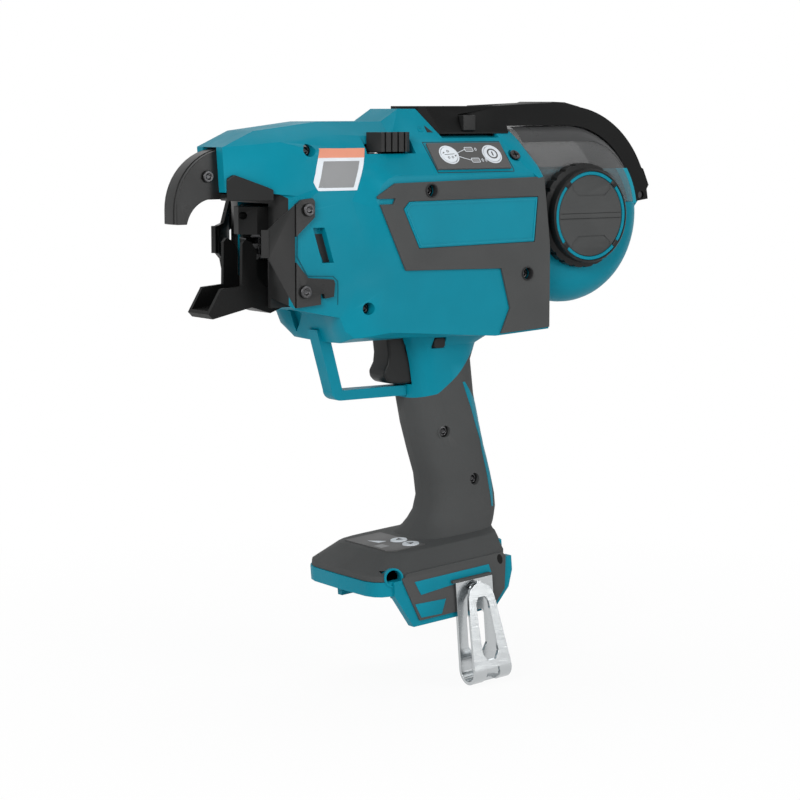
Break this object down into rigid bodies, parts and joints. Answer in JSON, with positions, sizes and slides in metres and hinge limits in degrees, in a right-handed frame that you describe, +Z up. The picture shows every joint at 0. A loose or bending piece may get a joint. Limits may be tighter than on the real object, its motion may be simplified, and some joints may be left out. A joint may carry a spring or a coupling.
{
  "type": "rebar tying tool",
  "caption": "Cordless pistol-grip rebar tying tool with a hooked wire guide, swinging lower guide, wire reel case with hinged lid and knob, trigger guard and battery foot.",
  "frame": {"origin": "middle of the battery seat under the foot of the handle", "axes": "nose towards -X, left side towards -Y, +Z up along the handle"},
  "size_m": [0.303, 0.0928, 0.3081],
  "materials": {
    "teal_shell": "fine moulded texture",
    "soft_grip": "matte overmould",
    "soft_face": "matte",
    "black_plastic": "satin",
    "blackened_steel": "satin black",
    "cast_alloy": "cast",
    "dark_screws": "blackened",
    "machined_steel": "turned",
    "motor_can": "satin",
    "smoked_lid": "smoked, polished",
    "pale_keys": "printed film",
    "board": "solder resist",
    "bright_steel": "polished",
    "insert_brass": "machined"
  },
  "bodies": {
    "tool_body": {"housing_left": "teal_shell", "housing_right": "teal_shell", "grip_left": "soft_grip", "grip_right": "soft_grip", "foot_rim_left": "teal_shell", "foot_rim_right": "teal_shell", "side_trim_left": "black_plastic", "side_trim_right": "black_plastic", "badge_left": "teal_shell", "badge_right": "teal_shell", "nose_cover": "black_plastic", "curl_arm": "blackened_steel", "arm_cheek_left": "blackened_steel", "arm_cheek_right": "blackened_steel", "arm_screw": "dark_screws", "guide_pin": "machined_steel", "contact_plate_left": "blackened_steel", "contact_plate_right": "blackened_steel", "plate_screws": "dark_screws", "mech_frame": "cast_alloy", "wire_nozzle": "blackened_steel", "twist_motor": "motor_can", "feed_plate": "cast_alloy", "feed_motor": "motor_can", "lever_pin": "machined_steel", "reel_case": "teal_shell", "lid_pin": "machined_steel", "switch_unit": "black_plastic", "top_panel": "black_plastic", "foot_panel": "black_plastic", "control_board": "board", "terminal_block": "black_plastic", "belt_hook": "bright_steel", "hook_screw": "dark_screws", "hook_insert": "insert_brass", "housing_screws": "dark_screws"},
    "lower_guide": {"lower_guide": "blackened_steel"},
    "cutter": {"cutter_shaft": "machined_steel"},
    "twister": {"twist_sleeve": "machined_steel", "twist_gear": "machined_steel"},
    "rotor": {"motor_rotor": "machined_steel"},
    "drive_wheel": {"drive_wheel": "machined_steel"},
    "idle_wheel": {"idle_wheel": "machined_steel"},
    "release_lever": {"release_lever": "black_plastic"},
    "lid": {"reel_lid": "smoked_lid", "lid_spine": "black_plastic"},
    "lid_latch": {"lid_latch": "black_plastic"},
    "plunger": {"reel_plunger": "machined_steel"},
    "knob": {"knob_ring": "black_plastic", "knob_band": "teal_shell", "knob_face": "soft_face"},
    "reel_hub": {"reel_hub": "black_plastic"},
    "trigger": {"trigger": "black_plastic"},
    "lock_button": {"lock_button": "black_plastic"},
    "mode_key": {"mode_key": "pale_keys"},
    "power_key": {"power_key": "pale_keys"},
    "down_key": {"down_key": "pale_keys"},
    "up_key": {"up_key": "pale_keys"}
  },
  "joints": [
    {"name": "trigger_pull", "type": "slide", "parent": "tool_body", "child": "trigger", "axis": [1, 0, 0], "range_m": [0, 0.007], "stiffness_N_per_m": 600},
    {"name": "lock_button_push", "type": "slide", "parent": "tool_body", "child": "lock_button", "axis": [0, 1, 0], "range_m": [0, 0.003]},
    {"name": "lid_open", "type": "hinge", "parent": "tool_body", "child": "lid", "pos_m": [0.1503, 0, 0.202], "axis": [0, 1, 0], "range_deg": [0, 75]},
    {"name": "lid_latch_press", "type": "slide", "parent": "lid", "child": "lid_latch", "axis": [0, 1, 0], "range_m": [0, 0.0015], "stiffness_N_per_m": 500},
    {"name": "knob_pull", "type": "slide", "parent": "tool_body", "child": "plunger", "axis": [0, -1, 0], "range_m": [0, 0.008], "stiffness_N_per_m": 120},
    {"name": "knob_turn", "type": "hinge", "parent": "plunger", "child": "knob", "pos_m": [0.0966, -0.03, 0.1925], "axis": [0, 1, 0], "range_deg": [0, 90]},
    {"name": "reel_hub_spin", "type": "hinge", "parent": "tool_body", "child": "reel_hub", "pos_m": [0.0966, 0.015, 0.1925], "axis": [0, 1, 0], "continuous": true},
    {"name": "lower_guide_swing", "type": "hinge", "parent": "tool_body", "child": "lower_guide", "pos_m": [-0.086, 0, 0.155], "axis": [0, -1, 0], "range_deg": [0, 15]},
    {"name": "cutter_turn", "type": "hinge", "parent": "tool_body", "child": "cutter", "pos_m": [-0.091, 0, 0.1965], "axis": [0, -1, 0], "range_deg": [0, 12]},
    {"name": "twist_spin", "type": "hinge", "parent": "tool_body", "child": "twister", "pos_m": [-0.06, 0, 0.181], "axis": [1, 0, 0], "continuous": true},
    {"name": "motor_spin", "type": "hinge", "parent": "tool_body", "child": "rotor", "pos_m": [0, 0, 0.15685], "axis": [1, 0, 0], "continuous": true},
    {"name": "feed_drive_spin", "type": "hinge", "parent": "tool_body", "child": "drive_wheel", "pos_m": [-0.03, 0.0074, 0.224], "axis": [0, 0, 1], "continuous": true},
    {"name": "release_lever_turn", "type": "hinge", "parent": "tool_body", "child": "release_lever", "pos_m": [-0.012, -0.014, 0.223], "axis": [0, 0, 1], "range_deg": [0, 12], "stiffness_Nm_per_rad": 0.5},
    {"name": "idle_spin", "type": "hinge", "parent": "release_lever", "child": "idle_wheel", "pos_m": [-0.03, -0.0074, 0.224], "axis": [0, 0, 1], "continuous": true},
    {"name": "mode_key_press", "type": "slide", "parent": "tool_body", "child": "mode_key", "axis": [0, 0.7768, -0.6298], "range_m": [0, 0.0006], "stiffness_N_per_m": 1200},
    {"name": "power_key_press", "type": "slide", "parent": "tool_body", "child": "power_key", "axis": [0, 0.7768, -0.6298], "range_m": [0, 0.0006], "stiffness_N_per_m": 1200},
    {"name": "down_key_press", "type": "slide", "parent": "tool_body", "child": "down_key", "axis": [0.0785, 0, -0.9969], "range_m": [0, 0.0006], "stiffness_N_per_m": 1200},
    {"name": "up_key_press", "type": "slide", "parent": "tool_body", "child": "up_key", "axis": [0.0785, 0, -0.9969], "range_m": [0, 0.0006], "stiffness_N_per_m": 1200}
  ],
  "couplings": [
    {"joint": "motor_spin", "follows": "twist_spin", "ratio": -3},
    {"joint": "idle_spin", "follows": "feed_drive_spin", "ratio": -1}
  ]
}
